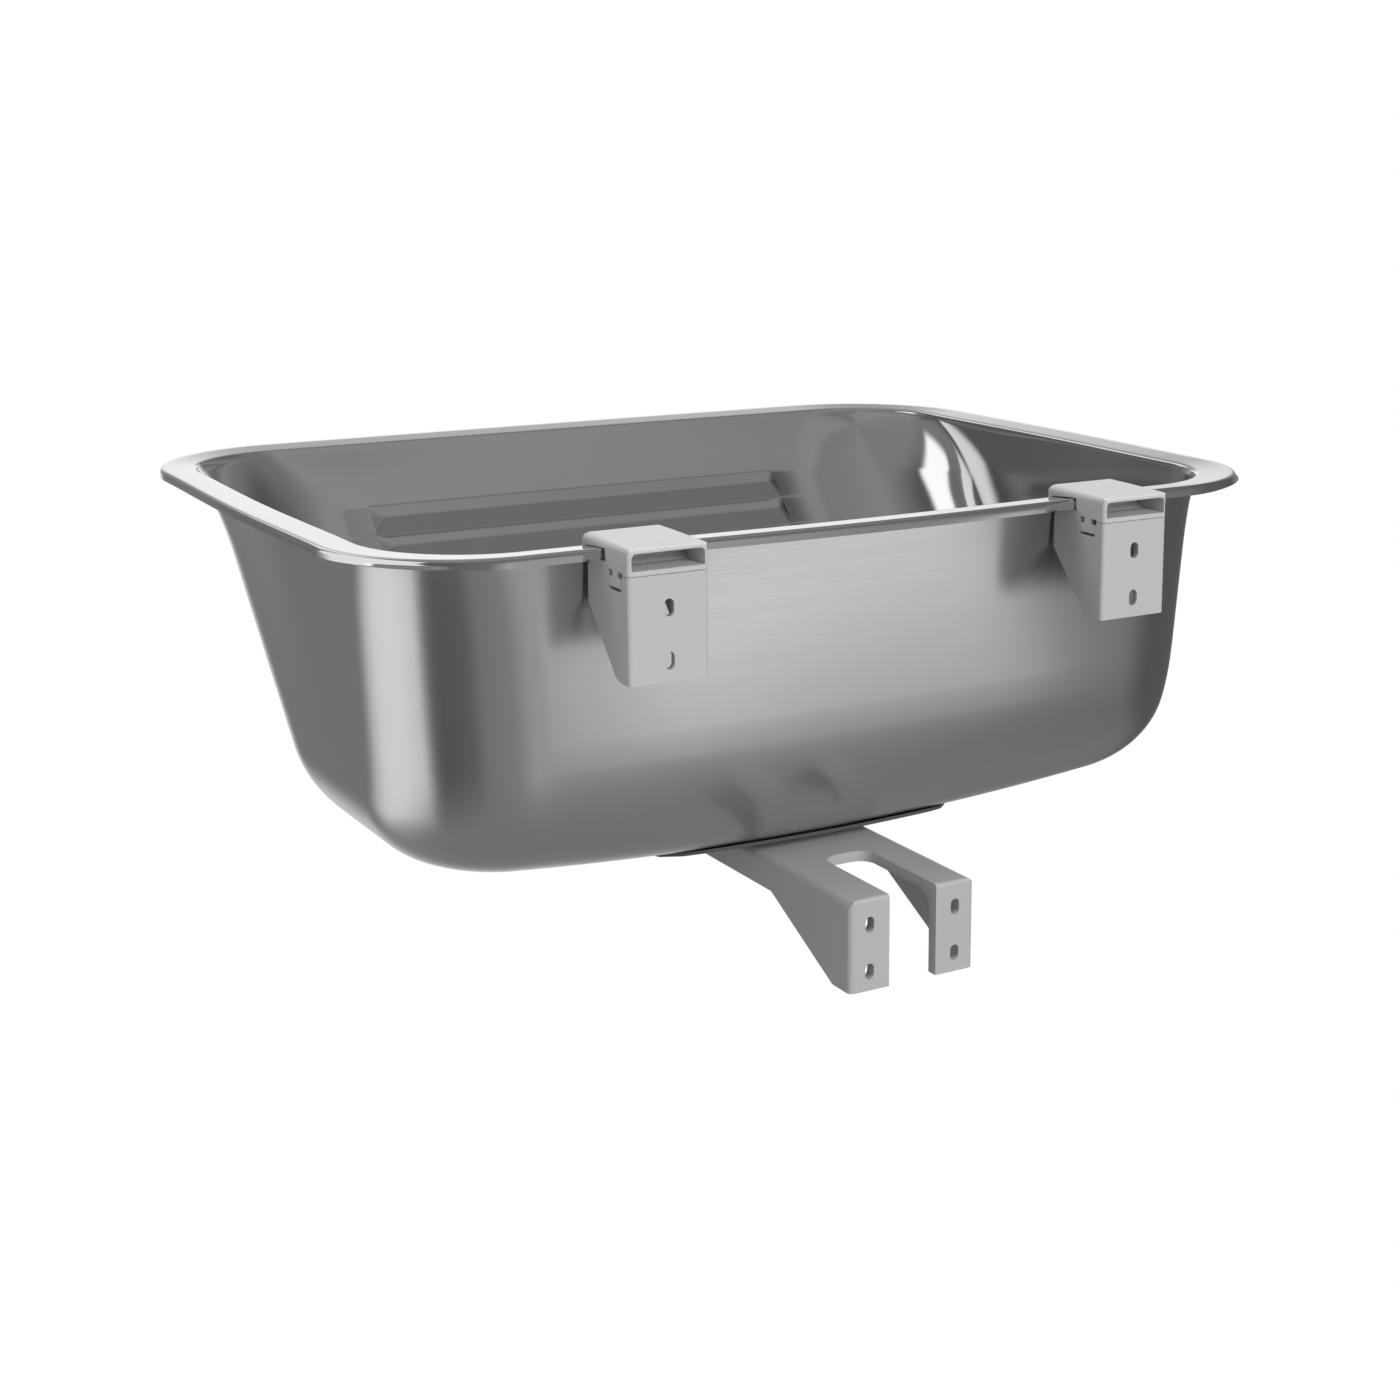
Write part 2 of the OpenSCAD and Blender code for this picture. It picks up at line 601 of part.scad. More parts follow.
module rim_clip(x) {
    back_d = front_corner_d - clip_front_t;
    low_d = notch_end - clip_front_t;
    neck_start = notch_start + relief_near_w;
    neck_end = notch_end - relief_far_w;
    head_start = notch_start + notch_step + head_gap;
    color("gainsboro")
        translate([x, 0, 0])
            union() {
                difference() {
                    intersection() {
                        across(bracket_w)
                            polygon(clip_outline);
                        away(-over, clip_reach + over)
                            polygon(rounded([
                                [-bracket_w / 2, clip_low - over],
                                [bracket_w / 2, clip_low - over],
                                [bracket_w / 2, clip_top + clip_rise, nose_r],
                                [-bracket_w / 2, clip_top + clip_rise, nose_r]]));
                        upright(clip_low - over, clip_top + clip_rise + over)
                            polygon(rounded([
                                [-bracket_w / 2, 0, edge_r], [bracket_w / 2, 0, edge_r],
                                [bracket_w / 2, clip_reach + over], [-bracket_w / 2, clip_reach + over]]));
                    }
                    intersection() {
                        across(bracket_w)
                            polygon([[-over, -window_low], [-over, window_high], [back_d, window_high],
                                     [back_d, front_bend_z], [low_d, -window_low]]);
                        away(-2 * over, back_d + over)
                            polygon(rounded([
                                [clip_side - bracket_w / 2, -window_low],
                                [bracket_w / 2 - clip_side, -window_low],
                                [bracket_w / 2 - clip_side, window_high, window_r],
                                [clip_side - bracket_w / 2, window_high, window_r]]));
                    }
                    for (relief = [[notch_start, relief_near_w], [neck_end, relief_far_w]])
                        across(bracket_w + 2 * over)
                            translate([relief[0], clip_low - over])
                                square([relief[1], clip_relief_h + over]);
                }
                for (side = [-1, 1])
                    translate([side * (bracket_w - clip_side) / 2, 0, 0])
                        across(clip_side)
                            polygon(rounded([
                                [neck_start, clip_low + seat_gap], [neck_start, head_top],
                                [head_start, head_top],
                                [head_start, head_top - tongue_h, head_edge_r],
                                [notch_end - head_gap, head_top - tongue_h, head_edge_r],
                                [notch_end - head_gap, head_top],
                                [neck_end, head_top], [neck_end, clip_low + seat_gap]]));
            }
}

// Waste bracket: a channel from the wall to the waste, split into two legs at the wall
body_r = hole_r + body_gasket_w + waste_sheet;
fork_w = 2 * (body_r + body_clear + flank_t);
fork_top = under_z - glue_t;
fork_under = fork_top - fork_top_t;
fork_low = fork_top - leg_h;
leg_w = (fork_w - fork_gap) / 2;
leg_x = (fork_gap + leg_w) / 2;
gap_corner_r = 9 * mm;
inner_fold_r = 9 * mm;
foot_corner_r = 6 * mm;
leg_edge_r = 3 * mm;

flank_outline = rounded([
    [0, fork_low], [slope_near, fork_low, foot_corner_r], [slope_far, fork_top - flank_h],
    [waste_d + fork_w / 2 + over, fork_top - flank_h], [waste_d + fork_w / 2 + over, fork_top],
    [0, fork_top, edge_r]]);

module fork_plan(inset) {
    polygon(rounded([
        [inset - fork_w / 2, 0, leg_edge_r], [fork_w / 2 - inset, 0, leg_edge_r],
        [fork_w / 2 - inset, waste_d], [inset - fork_w / 2, waste_d]]));
    translate([0, waste_d])
        circle(r = fork_w / 2 - inset);
}

module waste_bracket() {
    far = waste_d + fork_w;
    color("lightgray")
        difference() {
            intersection() {
                across(fork_w)
                    polygon(flank_outline);
                upright(fork_low - over, fork_top + over)
                    fork_plan(0);
                away(-over, far)
                    polygon(rounded([
                        [-fork_w / 2, fork_low - over], [fork_w / 2, fork_low - over],
                        [fork_w / 2, fork_top, fold_r], [-fork_w / 2, fork_top, fold_r]]));
            }
            intersection() {
                across(fork_w)
                    polygon(rounded([
                        [leg_plate_t, fork_low - over], [leg_plate_t, fork_under, inner_fold_r],
                        [far, fork_under], [far, fork_low - over]]));
                upright(fork_low - 2 * over, fork_top)
                    fork_plan(flank_t);
            }
            upright(fork_low - over, fork_top + over)
                polygon(rounded([
                    [-fork_gap / 2, -over], [fork_gap / 2, -over],
                    [fork_gap / 2, gap_end, gap_corner_r], [-fork_gap / 2, gap_end, gap_corner_r]]));
            translate([0, -waste_d, fork_under - over])
                cylinder(h = fork_top_t + 2 * over, r = hole_r);
            for (side = [-1, 1])
                for (end = [-1, 1])
                    wall_slot(side * leg_x, fork_top - leg_slot_mid + end * leg_slot_pitch / 2, leg_plate_t);
        }
}

// Waste: the screw pulls flange and body together through the floor and the bracket
flange_low = seat_z + gasket_t;
grid_z = flange_low - dish_h;
neck_r = hole_r - 2 * seat_gap;
dish_r = neck_r - waste_sheet;
grid_r = dish_r - dish_run;
body_top = fork_under - body_gasket_t;
funnel_low = body_top - body_rim_h - funnel_h;
outlet_low = funnel_low - outlet_l;
boss_r = 2 * screw_r;
ribs = 3;
head_r = 2 * screw_r;
head_h = screw_r / 2;
screw_low = funnel_low - screw_r;

module turned(outline) {
    translate([0, -waste_d, 0])
        rotate_extrude()
            polygon(outline);
}

module waste_flange() {
    t = waste_sheet;
    color("silver")
        difference() {
            turned([
                [0, grid_z], [neck_r - t, grid_z], [neck_r, grid_z + t], [neck_r, flange_low],
                [flange_r, flange_low], [flange_r, flange_low + t / 2], [flange_r - t, flange_low + t],
                [dish_r, flange_low + t / 2], [grid_r, grid_z + t], [0, grid_z + t]]);
            translate([0, -waste_d, grid_z - over])
                cylinder(h = t + 2 * over, r = screw_r + seat_gap);
            for (i = [0 : grid_holes - 1])
                translate([0, -waste_d, grid_z - over])
                    rotate([0, 0, 360 / grid_holes * i])
                        translate([(grid_r + head_r + t) / 2, 0, 0])
                            cylinder(h = t + 2 * over, r = grid_hole_r);
        }
}

module gasket(inner, outer, low, thickness) {
    color("dimgray")
        turned([[inner, low], [outer, low], [outer, low + thickness], [inner, low + thickness]]);
}

module flange_gasket() {
    gasket(hole_r, flange_r - waste_sheet, seat_z, gasket_t);
}

module body_gasket() {
    gasket(hole_r, body_r - waste_sheet, body_top, body_gasket_t);
}

module waste_body() {
    w = body_wall;
    rim_low = body_top - body_rim_h;
    bore_r = outlet_r - w;
    throat_r = hole_r - w / 2;
    color("lightgray")
        difference() {
            union() {
                turned([
                    [throat_r, body_top], [body_r, body_top], [body_r, rim_low], [throat_r + w, rim_low],
                    [outlet_r, funnel_low], [outlet_r, outlet_low], [bore_r, outlet_low],
                    [bore_r, funnel_low], [throat_r, rim_low]]);
                turned([[0, funnel_low], [boss_r, funnel_low], [boss_r, rim_low], [0, rim_low]]);
                for (i = [0 : ribs - 1])
                    translate([0, -waste_d, funnel_low])
                        rotate([0, 0, 360 / ribs * i + 90])
                            translate([0, -w / 2, 0])
                                cube([outlet_r - w / 4, w, funnel_h / 3]);
            }
            translate([0, -waste_d, funnel_low - over])
                cylinder(h = funnel_h + 2 * over, r = screw_r);
        }
}

module waste_screw() {
    color("silver")
        translate([0, -waste_d, 0])
            union() {
                translate([0, 0, screw_low])
                    cylinder(h = grid_z + waste_sheet - screw_low, r = screw_r);
                difference() {
                    translate([0, 0, grid_z + waste_sheet])
                        cylinder(h = head_h, r = head_r);
                    translate([0, 0, grid_z + waste_sheet + head_h])
                        cube([2 * head_r + over, head_h / 2, head_h], center = true);
                }
            }
}

// Plug: a tapered stopper that stands in the dish, with a disc and a waisted pull knob
plug_seat_z = flange_low + waste_sheet + seat_gap;
plug_disc_r = hole_r + plug_over;
disc_edge = plug_disc_t / 3;
knob_r = 6 * mm;
knob_neck_r = 3.5 * mm;
knob_top_r = 4.8 * mm;

// Radii of the knob, each with its share of the knob's height
knob_shares = [[knob_r, 0], [knob_neck_r, 0.25], [knob_neck_r, 0.5], [knob_r, 0.75], [knob_r, 0.88],
               [knob_top_r, 1], [0, 1]];

module plug() {
    low = max(plug_seat_z - plug_h, grid_z + waste_sheet + head_h + seat_gap);
    disc_top = plug_seat_z + plug_disc_t;
    share = (low - grid_z - waste_sheet) / (dish_h - waste_sheet / 2);
    low_r = grid_r + share * (dish_r - grid_r) - 2 * seat_gap;
    color("dimgray")
        turned(concat(
            [[0, low], [low_r, low], [dish_r - 2 * seat_gap, plug_seat_z],
             [plug_disc_r, plug_seat_z], [plug_disc_r, disc_top - disc_edge],
             [plug_disc_r - disc_edge, disc_top]],
            [for (s = knob_shares) [s[0], disc_top + knob_h * s[1]]]));
}

basin();
sound_pad();
rim_bracket(-bracket_x);  // rim_bracket_left
rim_bracket(bracket_x);  // rim_bracket_right
rim_clip(-bracket_x);  // rim_clip_left
rim_clip(bracket_x);  // rim_clip_right
waste_bracket();
waste_flange();
flange_gasket();
body_gasket();
waste_body();
waste_screw();
plug();
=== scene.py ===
from collections import namedtuple
from math import atan, atan2, cos, pi, radians, sin, sqrt

import bpy
import numpy as np
from mathutils import Matrix, Vector


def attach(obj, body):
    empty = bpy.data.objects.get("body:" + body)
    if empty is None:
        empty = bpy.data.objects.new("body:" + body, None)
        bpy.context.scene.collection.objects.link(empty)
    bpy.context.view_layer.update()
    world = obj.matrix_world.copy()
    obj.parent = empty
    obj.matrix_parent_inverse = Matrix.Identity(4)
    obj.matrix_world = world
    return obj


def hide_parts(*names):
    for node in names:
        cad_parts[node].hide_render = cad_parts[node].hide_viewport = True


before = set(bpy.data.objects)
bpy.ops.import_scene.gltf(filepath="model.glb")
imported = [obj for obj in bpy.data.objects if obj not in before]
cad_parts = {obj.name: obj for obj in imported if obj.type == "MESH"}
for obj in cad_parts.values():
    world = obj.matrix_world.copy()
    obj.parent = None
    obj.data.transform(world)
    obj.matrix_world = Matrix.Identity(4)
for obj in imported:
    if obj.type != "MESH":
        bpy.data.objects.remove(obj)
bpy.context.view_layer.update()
MM = 0.001

# Camera
# The view of the photograph, fitted to the rim, the brackets and the slots
camera_data = bpy.data.cameras.new("camera")
camera = bpy.data.objects.new("camera", camera_data)
bpy.context.scene.collection.objects.link(camera)
camera_place = Vector((612.658, 919.695, 200.409))
right = Vector((-0.84863055, 0.52896816, 0.00434511))
down = Vector((0.10911611, 0.18308199, -0.97702337))
ahead = Vector((-0.51760977, -0.82865775, -0.21308792))
turn = Matrix((right, -down, -ahead)).transposed()
camera.matrix_world = Matrix.Translation(camera_place * MM) @ turn.to_4x4()
camera_data.sensor_width = 36.0
camera_data.lens = 58.3582
camera_data.shift_x = -0.108028
camera_data.shift_y = -0.067131
camera_data.clip_start = 0.05
camera_data.clip_end = 50.0
bpy.context.scene.camera = camera

# Pressed basin
# The solid's sizes and rows in mm, with finer steps, rounded ridges, and bends up to about 1 mm softer
# Lists of three give the ends, the wall side and the front
RIM_W = 544.0
RIM_D = 412.5
RIM_CORNERS = [75.0, 87.0]
WALL_GAP = 27.0
LIP_HEIGHTS = [4.7, 5.5, 5.5]
CORNER_FLARE = 1.8
CORNER_LIFT = 1.5
SHOULDER_R = 2.2
FLANGES = [19.2, 17.2, 19.7]
FLANGE_FALL = 1.2
MOUTH_R = 2.4
MOUTH_CORNER_R = 62.8
BOW_WALL = 6.0
BOW_FRONT = 1.0
BOW_END = 2.5
SHEET = 0.8
DEPTH = 173.0

# Walls, with the radii of their corners at the top and at the floor
WALL_DEPTH = DEPTH - FLANGE_FALL
LEAN = [run / WALL_DEPTH for run in (9.6, 5.5, 144.0)]
SLOPE = sqrt(1 + LEAN[2] ** 2)
WALL_CORNERS = [68.0, 72.0]
FRONT_CORNERS = [92.0, 80.0]
BLEND_SHARE = 0.3
FRONT_SAG = 0.5
BEND = [36.6, 61.6, 25.0]
BEND_START = [1.0, 1.2, 1.0]

# Washboard
RIDGES = 4
RIDGE_START = 42.5
RIDGE_PITCH = 20.5
RIDGE_H = 4.5
RIDGE_HALF_L = 142.0
RIDGE_HIP = 7.5
RIDGE_SOFT = 0.16

# Floor and seat of the waste
FALL = 13.0
FALL_HALF_W = 220.0
FALL_START = 0.3
WASTE_D = 184.98
HOLE_R = 25.0
SEAT_R = 37.0
SEAT_SLOPE = 5.0
SEAT_DROP = 2.0
SEAT_RINGS = (SEAT_R - 2, (SEAT_R + HOLE_R) / 2, HOLE_R)

# Steps of the skin, as counts or as shares
CORNER_STEPS, END_STEPS, WALL_STEPS, FRONT_STEPS = 24, 12, 36, 40
ROUND_STEPS, FLANGE_STEPS, TOP_STEPS, BEND_STEPS, FLOOR_STEPS = 6, 6, 24, 36, 14
LEAST_STEP = 0.25
SHARP_ANGLE = radians(50)
HIP_PLACES = (-1.5, -0.75, 0, 0.75, 1.5, 3, 4.5, 6, 6.75)
LIP_SHARES = (1, 0.67, 0.33)
RIDGE_SHARES = (0, 0.04, 0.08, 0.16, 0.3, 0.5, 0.7, 0.84, 0.92, 0.96)
SEAT_SHARES = (0.12, 0.3, 0.5, 0.7, 0.88, 1.0)

# A row has its share of the sides' bow, of the floor's fall and of the way down the lip.
# way is how far it lies down the front wall, for rows that can cross the washboard.
Row = namedtuple("Row", "insets heights radii bow fall way lip", defaults=(1.0, 0.0, None, 0.0))


def steps(first, last, count):
    return [first + (last - first) * i / count for i in range(count + 1)]


def bow_at(place):
    """Share of a side's bow, which is 1 at its middle and 0 at its ends"""
    return (1 - place * place) ** 2


def floor_bend(side, z):
    """Inset of the bend at the floor, which starts more gently than an arc where its start is above 1"""
    radius, start = BEND[side], BEND_START[side]
    share = max(0.0, z + DEPTH) / radius
    if share >= start:
        return 0.0
    return radius * (1 - sqrt(max(0.0, 1 - (1 - share / start) ** (2 * start))))


def wall_inset(side, z):
    """Inset of a wall from the rim's edge, with the bend at its foot"""
    angle = pi / 2 - atan(LEAN[side])
    start = FLANGES[side] + MOUTH_R * sin(angle)
    fallen = -z - FLANGE_FALL - MOUTH_R * (1 - cos(angle))
    return start + LEAN[side] * fallen + floor_bend(side, z)


def rim_row(inset, z, lip=0.0):
    """Row of the lip or of the shoulder above it"""
    heights = [z + lip * (SHOULDER_R - height) for height in LIP_HEIGHTS]
    return Row([inset] * 3, heights, [radius - inset for radius in RIM_CORNERS], lip=lip)


def flange_row(share):
    """Row of the flange between its shoulder and the bend into the bowl"""
    insets = [SHOULDER_R + share * (width - SHOULDER_R) for width in FLANGES]
    radii = [radius - SHOULDER_R + share * (MOUTH_CORNER_R - radius + SHOULDER_R) for radius in RIM_CORNERS]
    return Row(insets, [-FLANGE_FALL * share] * 3, radii)


def mouth_row(share):
    """Row of the bend from the flange into the bowl"""
    turns = [(pi / 2 - atan(lean)) * share for lean in LEAN]
    insets = [width + MOUTH_R * sin(angle) for width, angle in zip(FLANGES, turns)]
    heights = [-FLANGE_FALL - MOUTH_R * (1 - cos(angle)) for angle in turns]
    return Row(insets, heights, [MOUTH_CORNER_R - MOUTH_R * sin(turns[1])] * 2)


def corner_radius(radii, depth):
    """Radius of a bowl corner, which blends into the mouth's over the first share of the depth"""
    top, foot = radii
    blended = (top - MOUTH_CORNER_R + MOUTH_R) * max(0, 1 - depth / BLEND_SHARE) ** 3
    return top + (foot - top) * depth - blended


def bowl_row(z):
    """Row of the bowl's walls and of the bend at its floor"""
    depth = (-z - FLANGE_FALL) / WALL_DEPTH
    end_bend, wall_bend, front_bend = (floor_bend(side, z) for side in range(3))
    way = (-FLANGE_FALL - MOUTH_R - z) * SLOPE
    insets = [wall_inset(side, z) for side in range(3)]
    insets[2] -= FRONT_SAG * sin(pi * min(1.0, way / RIDGE_START))
    radii = [corner_radius(WALL_CORNERS, depth) - (end_bend + wall_bend) / 2,
             corner_radius(FRONT_CORNERS, depth) - (end_bend + front_bend) / 2]
    fall = max(0.0, (depth - FALL_START) / (1 - FALL_START)) ** 2
    return Row(insets, [z] * 3, radii, (1 - depth) ** 2, fall, way)


def fall_at(x):
    return FALL * (1 - (x / FALL_HALF_W) ** 2)


def floor_height(x):
    return -DEPTH - fall_at(x)


def soft_min(first, second, reach):
    """The lower of two values, with the edge between them rounded"""
    near = max(0.0, reach - abs(first - second)) / reach
    return min(first, second) - near * near * reach / 4


def crest(way, x):
    """Height of the washboard as a share of a ridge's: roofs down the wall, with hips at their ends"""
    place = (way - RIDGE_START) / RIDGE_PITCH
    if place <= 0 or place >= RIDGES:
        return 0.0
    share = place - int(place)
    roof = soft_min(2 * share, 2 * (1 - share), RIDGE_SOFT)
    return max(0.0, soft_min(roof, (RIDGE_HALF_L - abs(x)) / RIDGE_HIP, RIDGE_SOFT))


def row_point(row, column):
    """Point where a row crosses a column"""
    kind, place, side, at_wall = column
    half = RIM_W / 2 - row.insets[0]
    y_wall = -WALL_GAP - row.insets[1]
    y_front = -WALL_GAP - RIM_D + row.insets[2]
    wall_r, front_r = row.radii
    end_z, wall_z, front_z = row.heights
    if kind == "front":
        ridge = 0.0 if row.way is None else crest(row.way, place) * RIDGE_H / SLOPE
        bow = row.bow * BOW_FRONT * bow_at(min(1.0, abs(place) / (half - front_r)))
        point = [place, y_front - bow + ridge, front_z + ridge * LEAN[2]]
    elif kind == "corner":
        radius = wall_r if at_wall else front_r
        across, along = sin(radians(place)), cos(radians(place))
        flare = row.lip * at_wall * (2 * across * along) ** 2
        reach = radius + flare * CORNER_FLARE
        y = y_wall - radius + reach * along if at_wall else y_front + radius - radius * along
        side_z = wall_z if at_wall else front_z
        point = [side * (half - radius + reach * across), y,
                 side_z * along ** 2 + end_z * across ** 2 + flare * CORNER_LIFT]
    elif kind == "end":
        low, high = y_front + front_r, y_wall - wall_r
        point = [side * (half + row.bow * BOW_END * bow_at(place)),
                 (low + high) / 2 + place * (high - low) / 2, end_z]
    else:
        point = [place * (half - wall_r), y_wall + row.bow * BOW_WALL * bow_at(place), wall_z]
    point[2] -= row.fall * fall_at(point[0])
    return point


def skin_columns():
    """Columns once round the basin: kind, place along it, side of the middle, and 1 at the wall"""
    hips = [side * (RIDGE_HALF_L - RIDGE_HIP + place) for side in (-1, 1) for place in HIP_PLACES]
    front = {round(x, 3) for x in steps(-RIDGE_HALF_L, RIDGE_HALF_L, FRONT_STEPS)}
    columns = [("front", x, 1, 0) for x in sorted(front | set(hips))]
    columns += [("corner", angle, 1, 0) for angle in steps(0, 90, CORNER_STEPS)]
    columns += [("end", place, 1, 0) for place in steps(-1, 1, END_STEPS)[1:-1]]
    columns += [("corner", angle, 1, 1) for angle in steps(90, 0, CORNER_STEPS)]
    columns += [("wall", place, 1, 1) for place in steps(1, -1, WALL_STEPS)[1:-1]]
    columns += [("corner", angle, -1, 1) for angle in steps(0, 90, CORNER_STEPS)]
    columns += [("end", place, -1, 0) for place in steps(1, -1, END_STEPS)[1:-1]]
    columns += [("corner", angle, -1, 0) for angle in steps(90, 0, CORNER_STEPS)]
    return columns


def level_at(way):
    """Height of a place that lies this far down the front wall"""
    return -FLANGE_FALL - MOUTH_R - way / SLOPE


def bowl_levels():
    """Heights of the bowl's rows: above the washboard, on it, and round the bend at the floor"""
    levels = [level_at(way) for way in steps(0, RIDGE_START, TOP_STEPS)[1:-1]]
    for half_ridge in range(2 * RIDGES):
        start = RIDGE_START + half_ridge * RIDGE_PITCH / 2
        levels += [level_at(start + RIDGE_PITCH / 2 * share) for share in RIDGE_SHARES]
    levels.append(level_at(RIDGE_START + RIDGES * RIDGE_PITCH))
    for angle in steps(0, 90, BEND_STEPS):
        level = -DEPTH + BEND[1] * (1 - sin(radians(angle)))
        if min(abs(level - other) for other in levels) > LEAST_STEP or angle == 90:
            levels.append(level)
    return sorted(levels, reverse=True)


def floor_rows(outline):
    """Rows from the floor's outline to the seat of the waste, and over the seat to its hole"""
    angles = [atan2(point[1] + WASTE_D, point[0]) for point in outline]

    def ring(radius):
        return [(radius * cos(angle), -WASTE_D + radius * sin(angle)) for angle in angles]

    edge = ring(SEAT_R + SEAT_SLOPE)
    rows = []
    for share in steps(0, 1, FLOOR_STEPS)[1:]:
        flat = [(out[0] + share * (x - out[0]), out[1] + share * (y - out[1]))
                for out, (x, y) in zip(outline, edge)]
        rows.append([(x, y, floor_height(x)) for x, y in flat])
    seat_z = -DEPTH - FALL - SEAT_DROP
    for share in SEAT_SHARES:
        sunk = share * share * (3 - 2 * share)
        rows.append([(x, y, (1 - sunk) * floor_height(x) + sunk * seat_z)
                     for x, y in ring(SEAT_R + SEAT_SLOPE * (1 - share))])
    return rows + [[(x, y, seat_z) for x, y in ring(radius)] for radius in SEAT_RINGS]


def basin_skin():
    """The wet side, as rows of points from the lip's edge down to the waste hole"""
    columns = skin_columns()
    rows = [rim_row(0, -SHOULDER_R, share) for share in LIP_SHARES]
    for angle in steps(0, pi / 2, ROUND_STEPS):
        rows.append(rim_row(SHOULDER_R * (1 - cos(angle)), -SHOULDER_R * (1 - sin(angle))))
    rows += [flange_row(share) for share in steps(0, 1, FLANGE_STEPS)[1:]]
    rows += [mouth_row(share) for share in steps(0, 1, ROUND_STEPS)[1:]]
    rows += [bowl_row(z) for z in bowl_levels()]
    skin = [[row_point(row, column) for column in columns] for row in rows]
    return np.array(skin + floor_rows(skin[-1]))


def outward(skin):
    """Directions from the wet side to the dry side"""
    along = np.roll(skin, -1, 1) - np.roll(skin, 1, 1)
    below = np.concatenate([skin[1:], skin[-1:]]) - np.concatenate([skin[:1], skin[:-1]])
    normal = np.cross(below, along)
    return normal / np.linalg.norm(normal, axis=2, keepdims=True)


def build_basin():
    """Closed sheet between the wet and the dry side, with a material slot for each"""
    wet = basin_skin()
    dry = wet + SHEET * outward(wet)
    points = np.concatenate([wet.reshape(-1, 3), dry.reshape(-1, 3)]) * MM
    rows, columns = wet.shape[:2]
    other = rows * columns
    last = other - columns
    faces, slots = [], []
    for start in range(0, last, columns):
        for here in range(columns):
            beside = (here + 1) % columns
            corners = (start + here, start + beside, start + columns + beside, start + columns + here)
            faces.append(corners[::-1])
            faces.append(tuple(corner + other for corner in corners))
            slots += [0, 1]
    for here in range(columns):
        beside = (here + 1) % columns
        faces.append((here, beside, beside + other, here + other))
        faces.append((last + beside, last + here, last + here + other, last + beside + other))
        slots += [0, 0]
    mesh = bpy.data.meshes.new("basin_skin")
    mesh.from_pydata(points.tolist(), [], faces)
    mesh.polygons.foreach_set("material_index", slots)
    mesh.polygons.foreach_set("use_smooth", [True] * len(faces))
    mesh.update()
    mesh.set_sharp_from_angle(angle=SHARP_ANGLE)
    obj = bpy.data.objects.new("basin_skin", mesh)
    bpy.context.scene.collection.objects.link(obj)
    return obj


# Nodes
NOISE_LOW, NOISE_HIGH = 0.3, 0.7
WALL_FACING, LEVEL_FACING = 0.75, 0.95


def feed(tree, node, inputs):
    """Link each input to a socket, or set it to a value"""
    for name, value in inputs.items():
        if isinstance(value, bpy.types.NodeSocket):
            tree.links.new(value, node.inputs[name])
        else:
            node.inputs[name].default_value = value


def add(tree, kind, inputs, **settings):
    """New shader node with its settings and its inputs"""
    node = tree.nodes.new("ShaderNode" + kind)
    for name, value in settings.items():
        setattr(node, name, value)
    feed(tree, node, inputs)
    return node


def map_range(tree, value, low, high, to_low=0.0, to_high=1.0):
    """Takes a value from one range to another, and holds it at the ends"""
    inputs = {"Value": value, "From Min": low, "From Max": high, "To Min": to_low, "To Max": to_high}
    return add(tree, "MapRange", inputs).outputs["Result"]


def grey(level):
    return (level, level, level, 1)


def blend(tree, factor, first, second, kind="MIX"):
    """The first colour, and the second where the factor is 1"""
    inputs = {"Factor": factor, "A": first, "B": second}
    return add(tree, "Mix", inputs, data_type="RGBA", blend_type=kind).outputs["Result"]


def ramp(tree, stops, value):
    """Brightness by place, from (place, brightness) stops with places between 0 and 1"""
    node = add(tree, "ValToRGB", {"Fac": value})
    colors = node.color_ramp
    colors.interpolation = "EASE"
    while len(colors.elements) > 1:
        colors.elements.remove(colors.elements[-1])
    for index, (at, level) in enumerate(stops):
        element = colors.elements[0] if index == 0 else colors.elements.new(at)
        element.position = at
        element.color = grey(level)
    return node.outputs["Color"]


def noise(tree, scale, stretch=(1, 1, 1), detail=3.0, roughness=0.5):
    """Noise that stays on the object, with a scale for each axis"""
    coords = add(tree, "TexCoord", {})
    mapping = add(tree, "Mapping", {"Vector": coords.outputs["Object"], "Scale": stretch})
    inputs = {"Vector": mapping.outputs["Vector"], "Scale": scale, "Detail": detail, "Roughness": roughness}
    return add(tree, "TexNoise", inputs).outputs["Fac"]


def varied(tree, value, middle, span):
    """A number that varies with the noise, by span each way"""
    return map_range(tree, value, NOISE_LOW, NOISE_HIGH, middle - span, middle + span)


def clouded(tree, value, base):
    """A grey that varies with the noise, by 3% each way"""
    return blend(tree, value, grey(base * 0.97), grey(base * 1.03))


def bump(tree, height, distance, below=None):
    inputs = {"Height": height, "Distance": distance, "Strength": 1.0}
    if below is not None:
        inputs["Normal"] = below
    return add(tree, "Bump", inputs).outputs["Normal"]


def grain(tree):
    """Fine scratches that run level round the walls, and along the width on the level faces"""
    # Changes per metre across the scratches and along them
    across, along = 1900, 9
    walls = noise(tree, 1.0, (along, along, across), roughness=0.6)
    floors = noise(tree, 1.0, (along, across, along), roughness=0.6)
    facing = add(tree, "NewGeometry", {}).outputs["Normal"]
    facing_up = add(tree, "SeparateXYZ", {"Vector": facing}).outputs["Z"]
    level = add(tree, "Math", {0: facing_up}, operation="ABSOLUTE").outputs[0]
    share = map_range(tree, level, WALL_FACING, LEVEL_FACING)
    return add(tree, "Mix", {"Factor": share, "A": walls, "B": floors}).outputs["Result"]


def new_material(name):
    mat = bpy.data.materials.new(name)
    mat.use_nodes = True
    return mat, mat.node_tree, mat.node_tree.nodes["Principled BSDF"]


def mix_surface(tree, factor, first, second):
    """Gives a material the first shader, and the second where the factor is 1"""
    mix = add(tree, "MixShader", {"Fac": factor, 1: first.outputs[0], 2: second.outputs[0]})
    feed(tree, tree.nodes["Material Output"], {"Surface": mix.outputs["Shader"]})


